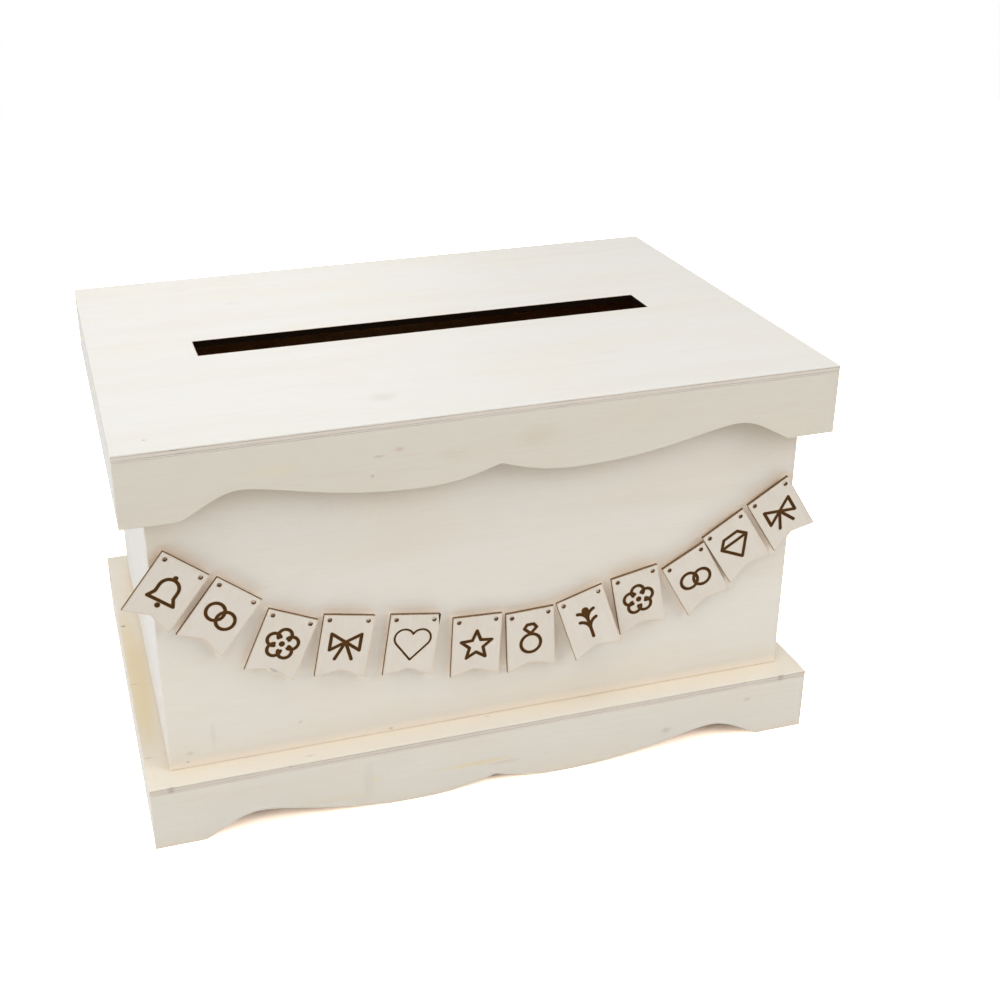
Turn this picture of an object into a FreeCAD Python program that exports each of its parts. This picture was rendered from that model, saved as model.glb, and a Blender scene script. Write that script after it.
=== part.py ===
import FreeCAD, Part
import math
import os

# A wooden card box for a wedding: a plywood box on a wider footed base, with a lift-off lid
# that has a card slot, and a row of small pennants glued across the front.
# Millimetres. The origin is the middle of the base at floor level, +X to the right seen
# from the front, +Y to the back, +Z up.

# ---------------------------------------------------------------- driving dimensions
PLY = 3.0                    # thickness of every board

PLATE_WIDTH = 300.0          # lid top and base plate, along X
PLATE_DEPTH = 210.0          # lid top and base plate, along Y
TOTAL_HEIGHT = 180.0
BASE_HEIGHT = 30.0           # base plate and the aprons under it
LID_HEIGHT = 30.5            # lid top and the aprons under it

BODY_WIDTH = 280.0           # outside of the four walls
BODY_DEPTH = 188.0

SLOT_LENGTH = 210.0
SLOT_WIDTH = 19.0
SLOT_RIGHT_SHIFT = 0.5       # the slot lies a little off the middle
SLOT_BACK_SHIFT = 0.5

LOCATOR_SIZE = 8.0           # square strips under the lid that drop inside the walls
LOCATOR_CLEARANCE = 1.0      # from a strip to the wall beside it

# The scalloped aprons: stations along half the apron, from its middle outwards.
BELLY_AT = 33.5              # lowest point of the long middle curve
CREST_AT = 104.3             # highest point of the arch
TOE_AT = 128.0               # where the arch meets the straight foot
# Heights above the foot (the middle cusp, the belly and the crest), and how far the whole
# curve lies right of the middle.
LID_SCALLOP = (6.6, 0.5, 10.0, 1.0)
BASE_SCALLOP = (5.4, 0.1, 9.7, -0.7)
# How far each curve's poles stand from its ends. They make it leave the cusp at a slant, pass
# level through the belly and the crest, and come down steeply to the toe.
CUSP_REACH, CUSP_RISE = 15.0, 0.6
BELLY_REACH_IN, BELLY_REACH_OUT = 9.0, 36.0
CREST_REACH_IN, CREST_REACH_OUT = 12.5, 8.5
TOE_REACH, TOE_RISE = 8.0, 4.0

PENNANT_WIDTH = 21.7
PENNANT_LENGTH = 29.3        # from the top edge to the two tips
PENNANT_NOTCH = 3.6          # depth of the swallowtail
PENNANT_THICKNESS = 1.5
HOLE_RADIUS = 1.0            # string holes in the top corners
HOLE_INSET = 2.6             # from the side edge to the hole's centre
HOLE_DROP = 2.4              # from the top edge to the hole's centre

ENGRAVING_DEPTH = 0.4
BOLD_STROKE = 1.5            # width of an engraved line
FINE_STROKE = 0.9            # width of the heart's line
MOTIF_DROP = 14.0            # from the top edge to the middle of a motif

GLUE_DOT_RADIUS = 5.0
GLUE_DOT_HEIGHT = 2.0        # how far a pennant stands off the front wall
GLUE_DOT_DROP = 14.0         # from the top edge to the middle of a dot
LOW_GLUE_DOT_DROP = 23.4     # a dot that has slipped down and aside, and shows in the notch
LOW_GLUE_DOT_SHIFT = 2.5
TALL_GLUE_DOT_HEIGHT = 6.0   # a dot under a leaning pennant, before the pennant presses on it

CUT_MARGIN = 1.0             # how far a cutting shape runs past the faces that it cuts

# ---------------------------------------------------------------- heights and half sizes
BASE_PLATE_BOTTOM = BASE_HEIGHT - PLY
LID_TOP_BOTTOM = TOTAL_HEIGHT - PLY
LID_FOOT = TOTAL_HEIGHT - LID_HEIGHT

HALF_WIDTH = PLATE_WIDTH / 2
HALF_DEPTH = PLATE_DEPTH / 2
BODY_HALF_WIDTH = BODY_WIDTH / 2
BODY_HALF_DEPTH = BODY_DEPTH / 2


def vector(x, y, z):
    return FreeCAD.Vector(x, y, z)


def board(low, high):
    """A straight board between two opposite corners."""
    size = [b - a for a, b in zip(low, high)]
    return Part.makeBox(*size, vector(*low))


# ---------------------------------------------------------------- boards of the lid and base
def scallop_half(foot, scallop, side):
    """The lower edge of half an apron, from the cusp to the toe; side is -1 or 1."""
    cusp, belly, crest, shift = scallop
    curves = (
        ((0, cusp), (CUSP_REACH, belly + CUSP_RISE), (BELLY_AT - BELLY_REACH_IN, belly), (BELLY_AT, belly)),
        ((BELLY_AT, belly), (BELLY_AT + BELLY_REACH_OUT, belly), (CREST_AT - CREST_REACH_IN, crest),
         (CREST_AT, crest)),
        ((CREST_AT, crest), (CREST_AT + CREST_REACH_OUT, crest), (TOE_AT - TOE_REACH, TOE_RISE),
         (TOE_AT, 0)),
    )
    edges = []
    for poles in curves:
        curve = Part.BezierCurve()
        curve.setPoles([vector(shift + side * x, 0, foot + z) for x, z in poles])
        edges.append(curve.toShape())
    return edges


def scalloped_apron(foot, top, scallop, front_face):
    """A full-width apron on edge, with two arches and a middle cusp cut in its lower edge."""
    shift = scallop[-1]
    corners = [(shift + TOE_AT, foot), (HALF_WIDTH, foot), (HALF_WIDTH, top),
               (-HALF_WIDTH, top), (-HALF_WIDTH, foot), (shift - TOE_AT, foot)]
    edges = []
    for (x0, z0), (x1, z1) in zip(corners, corners[1:]):
        edges.append(Part.makeLine(vector(x0, 0, z0), vector(x1, 0, z1)))
    edges += scallop_half(foot, scallop, -1) + scallop_half(foot, scallop, 1)
    outline = Part.Wire(Part.__sortEdges__(edges))
    apron = Part.Face(outline).extrude(vector(0, PLY, 0))
    apron.translate(vector(0, front_face, 0))
    return apron


def apron_ring(prefix, foot, top, scallop):
    """Four aprons: scalloped front and back, and plain sides butted between them."""
    inner_depth = HALF_DEPTH - PLY
    return {
        prefix + "_front_apron": scalloped_apron(foot, top, scallop, -HALF_DEPTH),
        prefix + "_back_apron": scalloped_apron(foot, top, scallop, inner_depth),
        prefix + "_left_apron": board((-HALF_WIDTH, -inner_depth, foot),
                                      (-HALF_WIDTH + PLY, inner_depth, top)),
        prefix + "_right_apron": board((HALF_WIDTH - PLY, -inner_depth, foot),
                                       (HALF_WIDTH, inner_depth, top)),
    }


def plate(bottom):
    """The plain board that the lid top and the base plate are both cut from."""
    return board((-HALF_WIDTH, -HALF_DEPTH, bottom), (HALF_WIDTH, HALF_DEPTH, bottom + PLY))


def lid_top():
    """The lid's board, with the slot that the cards go through."""
    low = (SLOT_RIGHT_SHIFT - SLOT_LENGTH / 2, SLOT_BACK_SHIFT - SLOT_WIDTH / 2,
           LID_TOP_BOTTOM - CUT_MARGIN)
    high = (SLOT_RIGHT_SHIFT + SLOT_LENGTH / 2, SLOT_BACK_SHIFT + SLOT_WIDTH / 2,
            TOTAL_HEIGHT + CUT_MARGIN)
    return plate(LID_TOP_BOTTOM).cut(board(low, high))


def lid_locators():
    """Strips under the lid that keep it centred on the walls."""
    outer_x = BODY_HALF_WIDTH - PLY - LOCATOR_CLEARANCE
    outer_y = BODY_HALF_DEPTH - PLY - LOCATOR_CLEARANCE
    inner_x = outer_x - LOCATOR_SIZE
    inner_y = outer_y - LOCATOR_SIZE
    low = LID_TOP_BOTTOM - LOCATOR_SIZE
    high = LID_TOP_BOTTOM
    return {
        "lid_locator_front": board((-outer_x, -outer_y, low), (outer_x, -inner_y, high)),
        "lid_locator_back": board((-outer_x, inner_y, low), (outer_x, outer_y, high)),
        "lid_locator_left": board((-outer_x, -inner_y, low), (-inner_x, inner_y, high)),
        "lid_locator_right": board((inner_x, -inner_y, low), (outer_x, inner_y, high)),
    }


# ---------------------------------------------------------------- walls of the box
def walls():
    """Full-width front and back walls, with the side walls between them."""
    low = BASE_HEIGHT
    high = LID_TOP_BOTTOM
    x = BODY_HALF_WIDTH
    y = BODY_HALF_DEPTH
    inner_y = y - PLY
    return {
        "box_front_wall": board((-x, -y, low), (x, -inner_y, high)),
        "box_back_wall": board((-x, inner_y, low), (x, y, high)),
        "box_left_wall": board((-x, -inner_y, low), (-x + PLY, inner_y, high)),
        "box_right_wall": board((x - PLY, -inner_y, low), (x, inner_y, high)),
    }


# ---------------------------------------------------------------- engraved lines
# A groove is drawn flat, with x across and y up, and its tool runs from the groove's
# floor to well above the pennant's face.
GROOVE_FLOOR = PENNANT_THICKNESS - ENGRAVING_DEPTH
TOOL_HEIGHT = ENGRAVING_DEPTH + CUT_MARGIN


def dot(centre, radius):
    """A round sinking, which also rounds the ends and corners of lines."""
    return Part.makeCylinder(radius, TOOL_HEIGHT, vector(centre[0], centre[1], GROOVE_FLOOR))


def line(points, stroke=BOLD_STROKE):
    """A groove along straight runs from point to point."""
    tools = [dot(point, stroke / 2) for point in dict.fromkeys(points)]
    for (x0, y0), (x1, y1) in zip(points, points[1:]):
        run = Part.makeBox(math.hypot(x1 - x0, y1 - y0), stroke, TOOL_HEIGHT,
                           vector(0, -stroke / 2, GROOVE_FLOOR))
        run.rotate(vector(0, 0, 0), vector(0, 0, 1), math.degrees(math.atan2(y1 - y0, x1 - x0)))
        run.translate(vector(x0, y0, 0))
        tools.append(run)
    return tools


def closed_line(points, stroke=BOLD_STROKE):
    return line(tuple(points) + (points[0],), stroke)


def arc(centre, radius, start, end, stroke=BOLD_STROKE):
    """A groove along a circular arc, anticlockwise from start to end, in degrees."""
    base = vector(centre[0], centre[1], GROOVE_FLOOR)
    up = vector(0, 0, 1)
    sweep = end - start
    outside = Part.makeCylinder(radius + stroke / 2, TOOL_HEIGHT, base, up, sweep)
    inside = Part.makeCylinder(radius - stroke / 2, TOOL_HEIGHT, base, up, sweep)
    band = outside.cut(inside)
    band.rotate(base, up, start)
    ends = [polar(centre, radius, angle) for angle in (start, end)]
    return [band] if sweep == 360 else [band] + [dot(point, stroke / 2) for point in ends]


def polar(centre, radius, angle):
    turn = math.radians(angle)
    return (centre[0] + radius * math.cos(turn), centre[1] + radius * math.sin(turn))


# ---------------------------------------------------------------- motifs, about their middles
def heart():
    """Two round lobes, and long sides that run down to the point."""
    lobe, lobe_x, lobe_y = 4.2, 3.7, 2.8
    tip = (0, -7.6)
    # Each side is the straight tangent from the tip to its lobe.
    reach = math.hypot(lobe_x, lobe_y - tip[1])
    lean = math.degrees(math.atan2(lobe_y - tip[1], lobe_x))
    touch = lean + 180 + math.degrees(math.acos(lobe / reach))
    touch_point = polar((lobe_x, lobe_y), lobe, touch)
    dip = 180 - math.degrees(math.acos(lobe_x / lobe))
    tools = arc((lobe_x, lobe_y), lobe, touch - 360, dip, FINE_STROKE)
    tools += arc((-lobe_x, lobe_y), lobe, 180 - dip, 540 - touch, FINE_STROKE)
    tools += line(((-touch_point[0], touch_point[1]), tip, touch_point), FINE_STROKE)
    return tools


def bell():
    """A dome on straight sides that flare to the rim, with a knob above and a clapper below."""
    rim, shoulder = 6.0, 4.2
    rim_at, waist_at, dome_at = -4.6, -1.6, 1.4
    knob, knob_at = 1.1, 6.6
    clapper, clapper_at = 1.2, -6.6
    tools = arc((0, dome_at), shoulder, 0, 180)
    tools += line(((-shoulder, dome_at), (-shoulder, waist_at), (-rim, rim_at),
                   (rim, rim_at), (shoulder, waist_at), (shoulder, dome_at)))
    return tools + [dot((0, knob_at), knob), dot((0, clapper_at), clapper)]


def twin_rings():
    ring, apart, above = 3.9, 2.9, 0.8
    return arc((-apart, above), ring, 0, 360) + arc((apart, -above), ring, 0, 360)


def blossom():
    """Five petals that meet, round a dot."""
    petals, reach, petal, half_sweep = 5, 4.0, 2.9, 126
    heart_dot = 1.3
    tools = [dot((0, 0), heart_dot)]
    for number in range(petals):
        direction = 90 + number * 360 / petals
        tools += arc(polar((0, 0), reach, direction), petal, direction - half_sweep, direction + half_sweep)
    return tools


def bow():
    """Two triangular wings on a knot, and two tails."""
    wing, spread, knot_at = 6.4, 3.8, 1.4
    tail, tail_at = 3.6, -6.6
    tools = []
    for side in (-wing, wing):
        tools += closed_line(((0, knot_at), (side, knot_at + spread), (side, knot_at - spread)))
    return tools + line(((-tail, tail_at), (0, knot_at), (tail, tail_at)))


def star():
    points, outer, inner, middle = 5, 7.2, 3.2, -0.4
    corners = []
    for number in range(2 * points):
        radius = inner if number % 2 else outer
        corners.append(polar((0, middle), radius, 90 + number * 180 / points))
    return closed_line(corners)


def sprig():
    """A stem with a leaf at its end and curved side shoots in pairs."""
    stem_low, stem_high = -7.4, 3.0
    leaf, leaf_at = 1.7, 5.4
    shoot, shoot_sweep = 4.6, 80
    tools = line(((0, stem_low), (0, stem_high)))
    for height in (-3.6, 0.6):
        tools += arc((shoot, height), shoot, 180 - shoot_sweep, 180)
        tools += arc((-shoot, height), shoot, 0, shoot_sweep)
    return tools + [dot((0, leaf_at), leaf)]


def gem_ring():
    """A ring with a cut gem on its top."""
    band, band_at = 4.5, -2.4
    table, waist = 1.5, 2.8
    table_at, waist_at, point_at = 7.0, 5.2, 2.4
    gem = ((-waist, waist_at), (-table, table_at), (table, table_at), (waist, waist_at), (0, point_at))
    return arc((0, band_at), band, 0, 360) + closed_line(gem)


def cut_gem():
    """A gem seen from its side, with a line across its waist."""
    table, waist = 3.6, 6.6
    table_at, waist_at, point_at = 6.2, 2.4, -6.6
    outline = ((-waist, waist_at), (-table, table_at), (table, table_at), (waist, waist_at), (0, point_at))
    return closed_line(outline) + line(((-waist, waist_at), (waist, waist_at)))


# ---------------------------------------------------------------- the row of pennants
# Each is stuck on by hand along a sagging line: its motif, the middle of its top edge across
# and up, and its tilt in degrees, with the right end raised when positive. One leans out at
# the bottom, over the edge of its neighbour.
PENNANTS = (
    (bell, -125.6, 127.7, -38),
    (twin_rings, -105.6, 113.0, -38),
    (blossom, -84.7, 97.5, -24),
    (bow, -61.5, 93.0, -11),
    (heart, -33.4, 88.3, -9),
    (star, -6.4, 82.8, -3),
    (gem_ring, 17.0, 81.4, 2),
    (sprig, 39.4, 85.3, 17),
    (blossom, 64.7, 91.9, 11),
    (twin_rings, 87.4, 96.1, 29),
    (cut_gem, 105.4, 109.1, 32),
    (bow, 125.9, 121.8, 32),
)
SLIPPED_DOT = 3              # the number of the pennant with the low dot
LEANING_PENNANT = 8
LEAN = 8.0                   # degrees, about the top edge


def turned(shape, axis, angle):
    shape.rotate(vector(0, 0, 0), axis, angle)
    return shape


def hang(shape, x, z, tilt):
    """Stand a flat shape up in front of the wall, with its underside level with the dots."""
    turned(shape, vector(0, 0, 1), tilt)
    turned(shape, vector(1, 0, 0), 90)
    shape.translate(vector(x, -BODY_HALF_DEPTH - GLUE_DOT_HEIGHT, z))
    return shape


def pennant(motif):
    """A flat swallowtail with two string holes, engraved with its motif."""
    half = PENNANT_WIDTH / 2
    corners = [(-half, 0), (-half, -PENNANT_LENGTH), (0, -PENNANT_LENGTH + PENNANT_NOTCH),
               (half, -PENNANT_LENGTH), (half, 0), (-half, 0)]
    outline = Part.makePolygon([vector(x, y, 0) for x, y in corners])
    flag = Part.Face(outline).extrude(vector(0, 0, PENNANT_THICKNESS))
    tools = motif()
    for tool in tools:
        tool.translate(vector(0, -MOTIF_DROP, 0))
    for side in (-1, 1):
        at = vector(side * (half - HOLE_INSET), -HOLE_DROP, -CUT_MARGIN)
        tools.append(Part.makeCylinder(HOLE_RADIUS, PENNANT_THICKNESS + 2 * CUT_MARGIN, at))
    return flag.cut(tools)


def glue_dot(across=0, drop=GLUE_DOT_DROP, height=GLUE_DOT_HEIGHT):
    """A clear drop standing on the wall, flat in the middle, with a round rim."""
    rim = GLUE_DOT_HEIGHT / 2
    flat = GLUE_DOT_RADIUS - rim
    wall = -GLUE_DOT_HEIGHT
    top = wall + height

    def quarter(middle_z, start):
        """A quarter of the rim, anticlockwise from start, in degrees."""
        points = [polar((flat, middle_z), rim, start + turn) for turn in (0, 45, 90)]
        return Part.Arc(*[vector(x, 0, z) for x, z in points]).toShape()

    edges = [quarter(wall + rim, -90)]
    if height > GLUE_DOT_HEIGHT:
        edges.append(Part.makeLine(vector(GLUE_DOT_RADIUS, 0, wall + rim),
                                   vector(GLUE_DOT_RADIUS, 0, top - rim)))
    edges.append(quarter(top - rim, 0))
    edges += Part.makePolygon([vector(flat, 0, top), vector(0, 0, top),
                               vector(0, 0, wall), vector(flat, 0, wall)]).Edges
    shape = Part.Face(Part.Wire(edges)).revolve(vector(0, 0, 0), vector(0, 0, 1), 360)
    shape.translate(vector(across, -drop, 0))
    return shape


def leaning(shape):
    """Turn a flat shape about its top edge, so that its bottom stands out."""
    return turned(shape, vector(1, 0, 0), -LEAN)


def pennant_row():
    flags = {}
    dots = []
    for number, (motif, x, z, tilt) in enumerate(PENNANTS, start=1):
        flag = pennant(motif)
        dot_shape = glue_dot()
        if number == SLIPPED_DOT:
            dot_shape = glue_dot(LOW_GLUE_DOT_SHIFT, LOW_GLUE_DOT_DROP)
        if number == LEANING_PENNANT:
            flag = leaning(flag)
            reach = 2 * PENNANT_LENGTH
            pressed = leaning(Part.makeBox(reach, reach, reach, vector(-reach / 2, -reach, 0)))
            dot_shape = glue_dot(height=TALL_GLUE_DOT_HEIGHT).cut(pressed)
        flags["pennant_%02d" % number] = hang(flag, x, z, tilt)
        dots.append(hang(dot_shape, x, z, tilt))
    flags["pennant_glue_dots"] = Part.makeCompound(dots)
    return flags


# ---------------------------------------------------------------- the whole box
def nodes():
    parts = {"lid_top": lid_top(), "base_plate": plate(BASE_PLATE_BOTTOM)}
    parts.update(apron_ring("lid", LID_FOOT, LID_TOP_BOTTOM, LID_SCALLOP))
    parts.update(apron_ring("base", 0, BASE_PLATE_BOTTOM, BASE_SCALLOP))
    parts.update(lid_locators())
    parts.update(walls())
    parts.update(pennant_row())
    return parts


def main():
    os.makedirs("parts", exist_ok=True)
    for name, shape in nodes().items():
        shape.exportStep("parts/" + name + ".step")
        box = shape.BoundBox
        print("%-20s solids %2d valid %s x %7.2f %7.2f y %7.2f %7.2f z %7.2f %7.2f"
              % (name, len(shape.Solids), shape.isValid(),
                 box.XMin, box.XMax, box.YMin, box.YMax, box.ZMin, box.ZMax))


main()
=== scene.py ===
import math

import bpy
from mathutils import Matrix, Vector
from mathutils.geometry import box_fit_2d


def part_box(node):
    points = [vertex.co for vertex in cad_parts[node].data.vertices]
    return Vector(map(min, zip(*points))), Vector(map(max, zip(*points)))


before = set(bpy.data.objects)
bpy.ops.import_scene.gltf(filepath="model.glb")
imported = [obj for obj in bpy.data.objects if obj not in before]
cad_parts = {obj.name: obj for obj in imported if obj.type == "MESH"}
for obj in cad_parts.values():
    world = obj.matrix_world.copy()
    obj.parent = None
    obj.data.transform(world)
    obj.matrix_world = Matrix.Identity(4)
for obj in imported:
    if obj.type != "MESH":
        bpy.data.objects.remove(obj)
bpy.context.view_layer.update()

# The looks of the wedding card box. Everything is in metres, in the frame of the CAD model.
# Every piece keeps its CAD mesh. Here the boards get eased edges, and each piece gets its
# material: pale plywood, laser-burnt cuts, or clear glue.

MM = 0.001
AXES = "XYZ"

# ---------------------------------------------------------------- colours (linear)
VENEER = (0.815, 0.765, 0.685, 1)        # the boards' pale face
VENEER_DEEP = (0.72, 0.63, 0.50, 1)      # its darker growth bands
HONEY = (0.84, 0.70, 0.44, 1)            # yellow patches
PLY_CORE = (0.80, 0.72, 0.62, 1)         # the middle ply, seen on an edge
PLY_CORE_DEEP = (0.68, 0.58, 0.50, 1)
GLUE_BROWN = (0.33, 0.225, 0.17, 1)      # the line between two plies
FLECK = (0.20, 0.13, 0.08, 1)
STAIN = (0.40, 0.34, 0.24, 1)
RUST = (0.60, 0.36, 0.20, 1)
MOULD = (0.42, 0.43, 0.37, 1)
CHAR = (0.012, 0.007, 0.004, 1)          # walls of the slot
SOOT = (0.090, 0.050, 0.025, 1)          # cut edges of the pennants
BURNT = (0.30, 0.19, 0.10, 1)
ENGRAVED = (0.070, 0.027, 0.004, 1)      # floors of the engraved lines
ENGRAVED_PALE = (0.125, 0.052, 0.010, 1)
SCORCH = (0.66, 0.42, 0.21, 1)           # tan halo beside a burn
WARM_SHADE = (0.93, 0.74, 0.50, 1)       # wood lit by light that comes off other wood
JOINT_SHADE = (0.62, 0.50, 0.34, 1)
LID_SHADE = (0.52, 0.35, 0.17, 1)        # the front wall just under the lid
GLOW = (1.0, 0.80, 0.64, 1)              # warm light on it from the pennants and the base plate
INNER_SHADE = (0.42, 0.21, 0.06, 1)      # the inside of the closed box
PENNANT = (0.82, 0.745, 0.65, 1)         # the pennants' face
PENNANT_DEEP = (0.73, 0.63, 0.49, 1)
GLUE = (0.95, 0.94, 0.92, 1)
GLUE_DEEP = (0.80, 0.79, 0.76, 1)        # its darker patches
WHITE = (1, 1, 1, 1)

SHEEN = 0.5                              # the shaders' specular level, where nothing is burnt
HALO_STRENGTH = 0.35                     # of the tan beside a laser's cut
EDGE_SAMPLES = 8                         # rays for each point in near_edge
CROWD_SAMPLES = 4                        # and in crowding


class Graph:
    """One material's nodes, with a short method for each kind that is used here."""

    def __init__(self, name):
        self.material = bpy.data.materials.new(name)
        self.material.use_nodes = True
        self.tree = self.material.node_tree
        self.surface = self.tree.nodes["Principled BSDF"]
        texture = self.node("ShaderNodeTexCoord")
        self.place = texture.outputs["Object"]
        self.normal = texture.outputs["Normal"]

    def node(self, kind, **settings):
        made = self.tree.nodes.new(kind)
        for key, value in settings.items():
            setattr(made, key, value)
        return made

    def feed(self, socket, value):
        if isinstance(value, bpy.types.NodeSocket):
            self.tree.links.new(value, socket)
        else:
            socket.default_value = value

    def math(self, operation, first, second=0.0):
        made = self.node("ShaderNodeMath", operation=operation)
        self.feed(made.inputs[0], first)
        self.feed(made.inputs[1], second)
        return made.outputs[0]

    def scaled(self, value, factor, offset=0.0):
        made = self.node("ShaderNodeMath", operation="MULTIPLY_ADD")
        self.feed(made.inputs[0], value)
        made.inputs[1].default_value = factor
        made.inputs[2].default_value = offset
        return made.outputs[0]

    def product(self, *factors):
        result = factors[0]
        for factor in factors[1:]:
            result = self.math("MULTIPLY", result, factor)
        return result

    def dot(self, vector, direction):
        made = self.node("ShaderNodeVectorMath", operation="DOT_PRODUCT")
        self.feed(made.inputs[0], vector)
        self.feed(made.inputs[1], direction)
        return made.outputs["Value"]

    def combine(self, x, y, z):
        made = self.node("ShaderNodeCombineXYZ")
        for socket, value in zip(made.inputs, (x, y, z)):
            self.feed(socket, value)
        return made.outputs[0]

    def fade(self, value, low, high):
        """0 at low and 1 at high, smooth between them."""
        made = self.node("ShaderNodeMapRange", interpolation_type="SMOOTHSTEP")
        self.feed(made.inputs[0], value)
        self.feed(made.inputs[1], low)
        self.feed(made.inputs[2], high)
        return made.outputs[0]

    def noise(self, vector, detail=2.0, distortion=0.0):
        made = self.node("ShaderNodeTexNoise")
        self.feed(made.inputs["Vector"], vector)
        for name, value in (("Scale", 1.0), ("Detail", detail), ("Distortion", distortion)):
            made.inputs[name].default_value = value
        return made.outputs[0]

    def mix(self, factor, first, second, blend="MIX"):
        made = self.node("ShaderNodeMix", data_type="RGBA", blend_type=blend)
        self.feed(made.inputs[0], factor)
        self.feed(made.inputs[6], first)
        self.feed(made.inputs[7], second)
        return made.outputs[2]

    def near_edge(self, distance):
        """1 on a sharp outer edge and 0 further from it than the distance."""
        made = self.node("ShaderNodeAmbientOcclusion", inside=True, only_local=True,
                         samples=EDGE_SAMPLES)
        self.feed(made.inputs["Distance"], distance)
        return self.fade(made.outputs["AO"], 0.98, 0.45)

    def crowding(self, distance, samples=CROWD_SAMPLES):
        """How much other surfaces within the distance crowd round: 0 in the open."""
        made = self.node("ShaderNodeAmbientOcclusion", samples=samples)
        self.feed(made.inputs["Distance"], distance)
        return self.math("SUBTRACT", 1.0, made.outputs["AO"])

    def bump(self, height, distance):
        made = self.node("ShaderNodeBump")
        self.feed(made.inputs["Strength"], 1.0)
        self.feed(made.inputs["Distance"], distance)
        self.feed(made.inputs["Height"], height)
        return made.outputs[0]

    def finish(self, colour, roughness, height, relief, sheen=SHEEN):
        """The finished material, with a fine relief of this depth where the height varies."""
        self.feed(self.surface.inputs["Base Color"], colour)
        self.feed(self.surface.inputs["Specular IOR Level"], sheen)
        self.feed(self.surface.inputs["Roughness"], roughness)
        self.feed(self.surface.inputs["Normal"], self.bump(height, relief))
        return self.material


def unit(axis):
    return tuple(1.0 if name == axis else 0.0 for name in AXES)


# ---------------------------------------------------------------- plywood boards
VENEER_THICKNESS = 0.72 * MM
PLY_BLUR = 0.06 * MM                     # half the soft step between two plies
PLY_WANDER = 0.10 * MM                   # how far the lines between the plies stray
GLUE_LINE = 0.22 * MM                    # how wide a line between two plies looks
EASED_EDGE = 0.30 * MM
WELD_GAP = 0.001 * MM
FLAT_ANGLE = 0.5                         # degrees, below which two faces are one
SHARP_ANGLE = 40                         # degrees, above which an edge is eased
WOOD_RELIEF = 0.02 * MM                  # height of the fibres
MARK_RAGGED = 0.45                       # how far a mark's rim strays, as a share of its size

# The veneer's streaks: length and width of one.
BANDS = (170 * MM, 13 * MM)
FIBRES = (13 * MM, 0.5 * MM)
CLOUDS = (60 * MM, 26 * MM)
PORES = (2.4 * MM, 0.15 * MM)
# The same on the plies' edges.
WAVES = (14 * MM, 14 * MM)               # in the lines between the plies
CORE_STREAKS = (2.5 * MM, 0.7 * MM)
FAINT_STRETCHES = (24 * MM, 24 * MM)     # where a glue line is paler
GAPS = (5 * MM, 5 * MM)                  # short dark gaps in a glue line

JOINT_REACH = 1.6 * MM                   # how far from a joint its warm line shows
SHADE_REACH = 7 * MM                     # how far the warm light between close boards shows
LID_REACH = 30 * MM                      # how far below the lid its shade shows
LID_SHADE_HEIGHTS = (112 * MM, 142 * MM)  # none below the first, all of it above the second
GLOW_REACH = 5 * MM                      # how far from a pennant's edge the wall glows
GLOW_STRENGTH = 0.32
GLOW_CROWDING = (0.80, 0.50)             # no glow above the first, where a hole shades the wall
GLOW_SAMPLES = 12
FACING_OUT = (0.8, 0.95)                 # how squarely a face that glows looks outward
ROOM = 400 * MM                          # further than across the inside of the box
ROOM_SAMPLES = 16
CLOSED_IN = (0.85, 0.98)                 # how crowded a place has to be for the inner shade

SLOT_SCORCH = (0.9 * MM, 0.1 * MM)       # the tan round the slot, from nothing to its whole
SLOT_CHAR = (0.6 * MM, 0.4 * MM)         # the same for the char, which only the walls take


class Board:
    """A straight board's axes: along its grain, across it, and through its thickness."""

    def __init__(self, node):
        self.low, self.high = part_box(node)
        size = self.high - self.low
        order = sorted(range(3), key=lambda index: size[index])
        self.through, self.across, self.along = (AXES[index] for index in order)
        self.mid_plane = (self.low[order[0]] + self.high[order[0]]) / 2
        self.half_thickness = size[order[0]] / 2


def add_mark(g, colour, along, across, mark):
    """A knot, fleck or stain: a soft ellipse with a ragged rim."""
    middle, size, tint, strength = mark
    reach = g.math("DIVIDE", g.math("SUBTRACT", along, middle[0] * MM), size[0] * MM)
    rise = g.math("DIVIDE", g.math("SUBTRACT", across, middle[1] * MM), size[1] * MM)
    ragged = g.noise(g.combine(g.math("MULTIPLY", reach, 1.3), g.math("MULTIPLY", rise, 2.2),
                               middle[0]), 3.0)
    distance = g.math("SQRT", g.math("ADD", g.math("MULTIPLY", reach, reach),
                                     g.math("MULTIPLY", rise, rise)))
    distance = g.math("ADD", distance, g.scaled(ragged, 2 * MARK_RAGGED, -MARK_RAGGED))
    return g.mix(g.math("MULTIPLY", g.fade(distance, 1.0, 0.15), strength), colour, tint)


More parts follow.
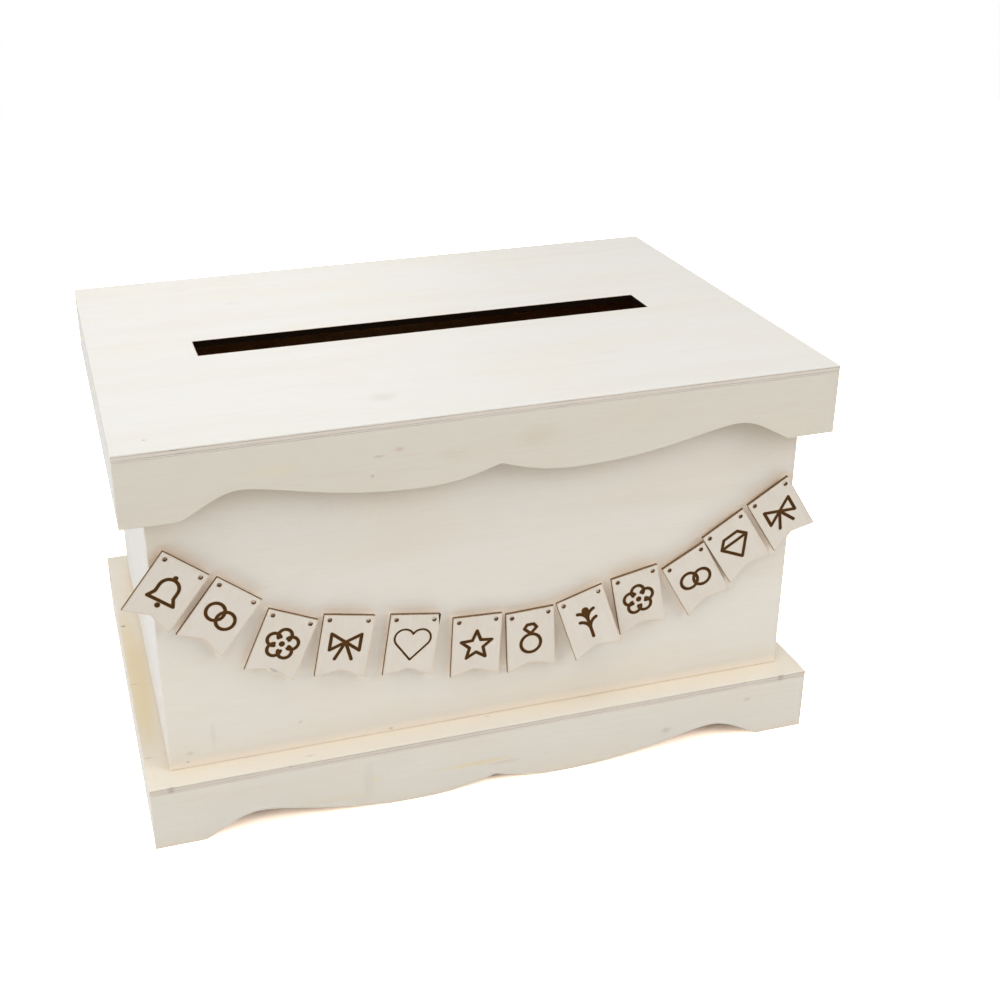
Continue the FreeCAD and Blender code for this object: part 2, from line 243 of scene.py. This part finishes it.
def plywood(node, seed, look, marks):
    """Pale plywood: grain, growth bands and flecks on the faces, and the plies on the edges."""
    honey, tone_and_painted_light, dark_core = look
    board = Board(node)
    g = Graph("plywood_" + node)
    along = g.dot(g.place, unit(board.along))
    across = g.dot(g.place, unit(board.across))
    through = g.dot(g.place, unit(board.through))

    def grain(streak, detail=2.0, distortion=0.0):
        """Noise drawn out along the grain, in streaks of this length and width."""
        length, width = streak
        return g.noise(g.combine(g.scaled(along, 1 / length, seed), g.scaled(across, 1 / width, seed),
                                 g.scaled(through, 1 / width, seed)), detail, distortion)

    # The face veneer.
    bands = g.fade(grain(BANDS, 3.0, 0.7), 0.40, 0.75)
    fibres = grain(FIBRES, 3.0)
    cloud = g.fade(grain(CLOUDS), 0.42, 0.75)
    pores = g.fade(grain(PORES, 1.0), 0.73, 0.80)
    colour = g.mix(g.scaled(bands, 0.16), VENEER, VENEER_DEEP)
    colour = g.mix(g.scaled(g.fade(fibres, 0.38, 0.75), 0.18), colour, VENEER_DEEP)
    colour = g.mix(g.scaled(cloud, 0.12, honey), colour, HONEY)
    colour = g.mix(g.scaled(pores, 0.22), colour, FLECK)
    # The board's tint multiplies its colour; on the lid top, the left boards and the front wall it is
    # partly painted light.
    colour = g.mix(1.0, colour, tone_and_painted_light, "MULTIPLY")

    # The plies on the edges, with a dark glue line on each side of the core.
    wander = g.scaled(grain(WAVES, 1.0), 2 * PLY_WANDER, -PLY_WANDER)
    depth = g.math("ABSOLUTE", g.math("SUBTRACT", g.math("ADD", through, wander), board.mid_plane))
    line_at = board.half_thickness - VENEER_THICKNESS
    core = g.fade(depth, line_at + PLY_BLUR, line_at - PLY_BLUR)
    core_colour = g.mix(g.scaled(grain(CORE_STREAKS), 0.5, dark_core), PLY_CORE, PLY_CORE_DEEP)
    outer_ply = g.mix(0.7, colour, VENEER)
    edge_colour = g.mix(core, outer_ply, core_colour)
    from_line = g.math("ABSOLUTE", g.math("SUBTRACT", depth, line_at))
    line = g.fade(from_line, GLUE_LINE * 0.8, GLUE_LINE * 0.3)
    faint = g.scaled(g.fade(grain(FAINT_STRETCHES), 0.35, 0.65), 0.30, 0.45)
    edge_colour = g.mix(g.math("MULTIPLY", line, faint), edge_colour, GLUE_BROWN)
    gap = g.fade(grain(GAPS, 1.0), 0.73, 0.77)
    edge_colour = g.mix(g.product(gap, line, 0.8), edge_colour, FLECK)
    facing = g.math("ABSOLUTE", g.dot(g.normal, unit(board.through)))
    colour = g.mix(g.fade(facing, 0.60, 0.45), colour, edge_colour)
    for mark in marks:
        colour = add_mark(g, colour, along, across, mark)

    # Light that has bounced from board to board turns warm in the joints and the narrow gaps.
    colour = g.mix(g.scaled(g.crowding(SHADE_REACH), 0.35), colour, WARM_SHADE)
    colour = g.mix(g.scaled(g.crowding(JOINT_REACH), 0.25), colour, JOINT_SHADE)
    return g, colour, fibres


def ease_edges(piece):
    """Break the sharp edges a little, as sanding does. Modifiers leave the mesh as it is."""
    weld = piece.modifiers.new("weld", "WELD")
    weld.merge_threshold = WELD_GAP
    planar = piece.modifiers.new("flat_faces", "DECIMATE")
    planar.decimate_type = "DISSOLVE"
    planar.angle_limit = math.radians(FLAT_ANGLE)
    bevel = piece.modifiers.new("eased_edges", "BEVEL")
    bevel.width = EASED_EDGE
    bevel.segments = 2
    bevel.limit_method = "ANGLE"
    bevel.angle_limit = math.radians(SHARP_ANGLE)
    bevel.harden_normals = True


def dress(node, material):
    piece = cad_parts[node]
    piece.data.materials.clear()
    piece.data.materials.append(material)


def slot_box():
    """Lowest and highest corner of the slot, from the lid top's inner corners."""
    low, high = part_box("lid_top")
    inner = [vertex.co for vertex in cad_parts["lid_top"].data.vertices
             if low.x + MM < vertex.co.x < high.x - MM]
    return (Vector((min(p.x for p in inner), min(p.y for p in inner), low.z)),
            Vector((max(p.x for p in inner), max(p.y for p in inner), high.z)))


def burn_slot(g, colour):
    """Char the walls of the card slot, with a thin tan scorch round its rim."""
    low, high = slot_box()
    middle, half = (low + high) / 2, (high - low) / 2
    outside = []
    for axis in (0, 1):
        at = g.dot(g.place, unit(AXES[axis]))
        at = g.math("ABSOLUTE", g.math("SUBTRACT", at, middle[axis]))
        outside.append(g.math("SUBTRACT", at, half[axis]))
    distance = g.math("MAXIMUM", *outside)
    scorch = g.math("MULTIPLY", g.fade(distance, *SLOT_SCORCH), HALO_STRENGTH)
    colour = g.mix(scorch, colour, SCORCH)
    upright = g.fade(g.math("ABSOLUTE", g.dot(g.normal, unit("Z"))), 0.9, 0.6)
    inside = g.fade(distance, *SLOT_CHAR)
    charred = g.product(inside, upright)
    return g.mix(charred, colour, CHAR), charred


def light_front_wall(g, colour):
    """Shade the front wall warmly under the lid, and light it warmly beside what stands on it."""
    under_lid = g.fade(g.dot(g.place, unit("Z")), *LID_SHADE_HEIGHTS)
    colour = g.mix(g.product(g.crowding(LID_REACH), under_lid), colour, LID_SHADE)
    outside = g.fade(g.dot(g.normal, (0, -1, 0)), *FACING_OUT)
    beside = g.crowding(GLOW_REACH, GLOW_SAMPLES)
    glow = g.product(beside, g.fade(beside, *GLOW_CROWDING), outside)
    g.feed(g.surface.inputs["Emission Color"], GLOW)
    g.feed(g.surface.inputs["Emission Strength"], g.scaled(glow, GLOW_STRENGTH))
    return colour


# How each board looks, where it isn't the usual: how much honey colour its veneer has, a tint
# that multiplies its colour, and how dark its core is. The tint is partly the wood's own; on the
# lid top and the left boards it is also painted cool light, and on the front wall painted extra light.
USUAL_LOOK = (0.04, (1.0, 1.0, 1.0, 1), 0.0)
LOOKS = {
    "lid_top": (0.0, (0.96, 0.98, 1.02, 1), 0.0),
    "lid_front_apron": (0.04, (0.955, 0.945, 0.915, 1), 0.0),
    "lid_left_apron": (0.0, (0.94, 0.97, 1.04, 1), 0.0),
    "base_plate": (0.22, (1.08, 1.09, 1.12, 1), 0.30),
    "base_left_apron": (0.0, (1.03, 1.04, 1.08, 1), 0.0),
    "box_left_wall": (0.0, (0.97, 0.99, 1.05, 1), 0.0),
    "box_front_wall": (0.04, (1.07, 1.07, 1.08, 1), 0.0),
}

# Marks in the veneer: middle (along and across the grain) and half size, in mm, colour, strength.
MARKS = {
    "lid_top": (((-136.5, -93.7), (0.9, 0.5), FLECK, 0.9), ((-41, -80), (8, 6), STAIN, 0.16),
                ((-79, 58), (5, 2.5), STAIN, 0.12), ((-101, 86), (6, 3), RUST, 0.10),
                ((64, -60), (10, 4), STAIN, 0.06)),
    "lid_front_apron": (((-41, 168), (2.6, 1.5), RUST, 0.40), ((-49, 166), (3.4, 0.9), STAIN, 0.35),
                        ((-20, 163), (9, 4), RUST, 0.10), ((17, 166), (14, 6), RUST, 0.14),
                        ((-52, 158), (1.2, 1.0), STAIN, 0.5), ((-90, 166), (16, 5), HONEY, 0.25)),
    "box_front_wall": (((-131, 37), (2.4, 1.4), STAIN, 0.25), ((-132.5, 33), (1.2, 0.7), FLECK, 0.5),
                       ((-121, 44), (1.6, 9), STAIN, 0.12), ((-44.7, 31.5), (1.6, 0.6), FLECK, 0.55),
                       ((-84, 43), (1.4, 0.9), STAIN, 0.35)),
    "base_front_apron": (((81, 11.4), (3.2, 2.2), MOULD, 0.45), ((121, 20), (2.6, 1.6), STAIN, 0.3),
                         ((-10, 13), (22, 1.6), HONEY, 0.75), ((4, 11), (10, 1.0), RUST, 0.22),
                         ((-58, 14), (3.5, 12), MOULD, 0.12), ((-55, 15), (4, 1.2), HONEY, 0.6),
                         ((-70, 8), (26, 1.8), HONEY, 0.3), ((149.9, 13), (0.8, 15), GLUE_BROWN, 0.45)),
    "base_plate": (((-82, -101), (3, 1.1), RUST, 0.3), ((-1.7, -96), (2, 0.8), STAIN, 0.35),
                   ((-146, -20), (7, 95), HONEY, 0.85), ((-148.1, 29.9), (1.5, 1.3), FLECK, 0.7),
                   ((-148, -23.6), (3, 0.5), FLECK, 0.3), ((-148, -82), (3, 0.6), FLECK, 0.25),
                   ((-141, -105.4), (2.4, 0.8), FLECK, 0.6), ((137, -105.4), (3.0, 0.8), FLECK, 0.5)),
}


def make_boards():
    names = sorted(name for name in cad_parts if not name.startswith("pennant"))
    for number, name in enumerate(names, start=1):
        g, colour, fibres = plywood(name, 1.7 * number, LOOKS.get(name, USUAL_LOOK), MARKS.get(name, ()))
        sheen = SHEEN
        if name == "lid_top":
            colour, charred = burn_slot(g, colour)
            sheen = g.scaled(charred, -SHEEN, SHEEN)
        if name == "box_front_wall":
            colour = light_front_wall(g, colour)
        if name.startswith("box") or name == "base_plate":
            closed_in = g.fade(g.crowding(ROOM, ROOM_SAMPLES), *CLOSED_IN)
            colour = g.mix(closed_in, colour, INNER_SHADE)
        dress(name, g.finish(colour, g.scaled(fibres, 0.15, 0.46), fibres, WOOD_RELIEF, sheen))
        ease_edges(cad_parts[name])


# ---------------------------------------------------------------- pennants
# The streaks in their wood and in the soot: width and length of one.
FACE_FIBRES = (0.5 * MM, 9 * MM)
FACE_CLOUDS = (9 * MM, 20 * MM)
SOOT_GRAINS = (0.35 * MM, 0.35 * MM)
HALO_REACH = 0.9 * MM                    # how far the tan halo runs in from a cut edge
GROOVE_SHALLOW = 0.12 * MM               # burnt from between these depths below the face
GROOVE_DEEP = 0.28 * MM
BACK_SHALLOW = 0.1 * MM                  # and the back stays pale, between these heights over it
BACK_DEEP = 0.4 * MM
PENNANT_RELIEF = 0.012 * MM              # height of the fibres
CHARRED_PENNANT = "pennant_05"           # its right edge is charred at the top
WEDGE_WIDTH = 1.1 * MM                   # of the char, at the top edge
WEDGE_LENGTH = 5.5 * MM
WEDGE_RIM = (-0.1 * MM, 0.15 * MM)       # the char's soft edge
SAME_PLANE = 0.01 * MM
GLUE_IOR = 1.47
GLUE_CLEAR = 0.3                         # the share of light that goes through
GLUE_GLOW = 0.03                         # stands in for light caught inside a drop
GLUE_WAVES = 400.0                       # per metre
GLUE_RELIEF = 0.05 * MM


class Flag:
    """A pennant's own axes: across, up, and out of its face, from the middle of its top edge."""

    def __init__(self, name):
        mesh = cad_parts[name].data
        front = [face for face in mesh.polygons if face.normal.y < -0.9]
        self.out = sum((face.normal * face.area for face in front), Vector()).normalized()
        depths = [vertex.co.dot(self.out) for vertex in mesh.vertices]
        face_at = max(depths)
        self.thickness = face_at - min(depths)
        points = [vertex.co for vertex in mesh.vertices
                  if face_at - vertex.co.dot(self.out) < SAME_PLANE]
        angle = -box_fit_2d([(p.x, p.z) for p in points])
        angle = (angle + math.pi / 4) % (math.pi / 2) - math.pi / 4
        self.across = Vector((math.cos(angle), 0, math.sin(angle)))
        self.up = self.across.cross(self.out) * -1
        reach = [p.dot(self.across) for p in points]
        rise = [p.dot(self.up) for p in points]
        self.half_width = (max(reach) - min(reach)) / 2
        self.origin = (self.across * (max(reach) + min(reach)) / 2
                       + self.up * max(rise) + self.out * face_at)


def pennant_wood(name, seed):
    """Thin pale wood cut and engraved by a laser: dark cuts, and a tan halo beside each."""
    flag = Flag(name)
    g = Graph("burnt_" + name)
    across, up, out = (g.math("SUBTRACT", g.dot(g.place, axis), flag.origin.dot(axis))
                       for axis in (flag.across, flag.up, flag.out))

    def grain(streak, detail=2.0):
        width, length = streak
        return g.noise(g.combine(g.scaled(across, 1 / width, seed), g.scaled(up, 1 / length, seed),
                                 g.scaled(out, 1 / width, seed)), detail)

    fibres = grain(FACE_FIBRES, 3.0)
    colour = g.mix(g.math("MULTIPLY", g.fade(fibres, 0.40, 0.75), 0.30), PENNANT, PENNANT_DEEP)
    cloud = grain(FACE_CLOUDS)
    colour = g.mix(g.math("MULTIPLY", g.fade(cloud, 0.45, 0.75), 0.25), colour, PENNANT_DEEP)
    colour = g.mix(g.scaled(g.near_edge(HALO_REACH), HALO_STRENGTH), colour, SCORCH)
    # Cut sides and the floors of the engraved lines.
    side = g.fade(g.math("ABSOLUTE", g.dot(g.normal, flag.out)), 0.75, 0.55)
    soot = grain(SOOT_GRAINS, 3.0)
    burnt = g.mix(g.fade(soot, 0.25, 0.75), SOOT, BURNT)
    engraved = g.mix(g.fade(soot, 0.3, 0.7), ENGRAVED_PALE, ENGRAVED)
    depth = g.math("MULTIPLY", out, -1.0)
    sunk = g.product(g.fade(depth, GROOVE_SHALLOW, GROOVE_DEEP),
                     g.fade(depth, flag.thickness - BACK_SHALLOW, flag.thickness - BACK_DEEP))
    colour = g.mix(sunk, colour, engraved)
    dull = g.math("MAXIMUM", sunk, side)
    if name == CHARRED_PENNANT:
        from_edge = g.math("SUBTRACT", flag.half_width, across)
        narrowing = g.scaled(up, WEDGE_WIDTH / WEDGE_LENGTH, WEDGE_WIDTH)
        wedge = g.fade(g.math("SUBTRACT", narrowing, from_edge), *WEDGE_RIM)
        colour = g.mix(wedge, colour, CHAR)
        dull = g.math("MAXIMUM", dull, wedge)
    colour = g.mix(side, colour, burnt)
    return g.finish(colour, 0.62, fibres, PENNANT_RELIEF, g.scaled(dull, -0.4, SHEEN))


def clear_glue():
    g = Graph("clear_glue")
    wander = g.noise(g.combine(*(g.math("MULTIPLY", g.dot(g.place, unit(axis)), GLUE_WAVES)
                                 for axis in AXES)))
    for name, value in (("Transmission Weight", GLUE_CLEAR), ("Emission Color", WHITE),
                        ("Emission Strength", GLUE_GLOW), ("IOR", GLUE_IOR)):
        g.surface.inputs[name].default_value = value
    colour = g.mix(wander, GLUE, GLUE_DEEP)
    return g.finish(colour, 0.16, wander, GLUE_RELIEF)


def make_pennants():
    names = sorted(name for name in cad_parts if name.startswith("pennant_") and name[-1].isdigit())
    for seed, name in enumerate(names, start=1):
        dress(name, pennant_wood(name, 2.3 * seed))
    dress("pennant_glue_dots", clear_glue())


# ---------------------------------------------------------------- camera, light and floor
CAMERA_ANGLES = (-15.992, 24.769, -0.799)   # azimuth, elevation and roll, in degrees
CAMERA_PLACE = (-0.1676, -0.5906, 0.3918)
SENSOR_WIDTH = 36                        # with the lens, in the camera's own millimetres
LENS = 51.144
SHIFT = (0.06924, -0.03334)              # of the picture's middle, as shares of its width
NEAREST = 10 * MM


def make_camera():
    azimuth, elevation, roll = (math.radians(angle) for angle in CAMERA_ANGLES)
    back = Vector((math.sin(azimuth) * math.cos(elevation),
                   -math.cos(azimuth) * math.cos(elevation), math.sin(elevation)))
    level = Vector((0, 0, 1)).cross(back).normalized()
    rise = back.cross(level)
    right = level * math.cos(roll) + rise * math.sin(roll)
    up = rise * math.cos(roll) - level * math.sin(roll)
    camera = bpy.data.objects.new("camera", bpy.data.cameras.new("camera"))
    bpy.context.scene.collection.objects.link(camera)
    turn = Matrix((right, up, back)).transposed().to_4x4()
    camera.matrix_world = Matrix.Translation(CAMERA_PLACE) @ turn
    camera.data.sensor_width = SENSOR_WIDTH
    camera.data.lens = LENS
    camera.data.shift_x, camera.data.shift_y = SHIFT
    camera.data.clip_start = NEAREST
    bpy.context.scene.camera = camera


AMBIENT = 0.14                           # the strength of the white light from all round
BOX_MIDDLE = (0, 0, 90 * MM)
# Each softbox: its name, where it stands, its side, its power and its colour. All aim at the box.
SOFTBOXES = (
    ("softbox_above", (0.0, -0.1, 1.6), 1.2, 16.8, (0.95, 0.98, 1.0)),
    ("softbox_front_left", (-1.1, -1.1, 1.0), 1.0, 6.0, (1.0, 1.0, 1.0)),
    ("softbox_front_right", (1.1, -1.1, 1.0), 1.0, 9.0, (1.0, 1.0, 1.0)),
    ("softbox_left", (-1.6, 0.0, 0.35), 1.0, 10.5, (0.97, 0.99, 1.0)),
    ("softbox_right", (1.6, 0.0, 0.6), 1.0, 4.0, (1.0, 1.0, 1.0)),
    ("softbox_back", (0.0, 1.7, 0.35), 1.0, 9.0, (1.0, 1.0, 1.0)),
)
# The floor's colour to the light that bounces off it, and to the camera: so bright there that
# only the deepest shade shows, in a warm colour.
FLOOR_WHITE = (0.90, 0.90, 0.90, 1)
FLOOR_BRIGHT = (4.4, 3.7, 3.1, 1)
FLOOR_HALF = 1.2                         # from its middle to a side
FLOOR_DROP = 0.05 * MM                   # just under the feet, so the two faces don't share a plane


def make_softbox(name, place, side, power, colour):
    light = bpy.data.lights.new(name, "AREA")
    light.size = side
    light.energy = power
    light.color = colour
    lamp = bpy.data.objects.new(name, light)
    bpy.context.scene.collection.objects.link(lamp)
    lamp.location = place
    aim = Vector(BOX_MIDDLE) - Vector(place)
    lamp.rotation_mode = "QUATERNION"
    lamp.rotation_quaternion = aim.to_track_quat("-Z", "Y")


def choose_for_camera(tree, normal, seen):
    """A shader that the camera sees directly as one thing, and that lights the box as another."""
    path = tree.nodes.new("ShaderNodeLightPath")
    choose = tree.nodes.new("ShaderNodeMixShader")
    tree.links.new(path.outputs["Is Camera Ray"], choose.inputs[0])
    tree.links.new(normal.outputs[0], choose.inputs[1])
    tree.links.new(seen.outputs[0], choose.inputs[2])
    return choose.outputs[0]


def make_world():
    world = bpy.data.worlds.new("studio")
    bpy.context.scene.world = world
    world.use_nodes = True
    tree = world.node_tree
    sky = tree.nodes["Background"]
    sky.inputs["Color"].default_value = WHITE
    sky.inputs["Strength"].default_value = AMBIENT
    backdrop = tree.nodes.new("ShaderNodeBackground")
    backdrop.inputs["Color"].default_value = WHITE
    tree.links.new(choose_for_camera(tree, sky, backdrop), tree.nodes["World Output"].inputs[0])


def make_floor():
    """A white floor, bright enough that only the deepest shade under the box shows."""
    ends = (-FLOOR_HALF, FLOOR_HALF)
    corners = [(x, y, -FLOOR_DROP) for x in ends for y in ends]
    mesh = bpy.data.meshes.new("studio_floor")
    mesh.from_pydata(corners, [], [(0, 2, 3, 1)])
    floor = bpy.data.objects.new("studio_floor", mesh)
    bpy.context.scene.collection.objects.link(floor)
    material = bpy.data.materials.new("white_sweep")
    material.use_nodes = True
    tree = material.node_tree
    shades = []
    for colour in (FLOOR_WHITE, FLOOR_BRIGHT):
        shade = tree.nodes.new("ShaderNodeBsdfDiffuse")
        shade.inputs["Color"].default_value = colour
        shades.append(shade)
    tree.links.new(choose_for_camera(tree, *shades), tree.nodes["Material Output"].inputs[0])
    mesh.materials.append(material)


def make_studio():
    make_world()
    make_floor()
    for softbox in SOFTBOXES:
        make_softbox(*softbox)
    bpy.context.scene.view_settings.view_transform = "Standard"


make_boards()
make_pennants()
make_camera()
make_studio()
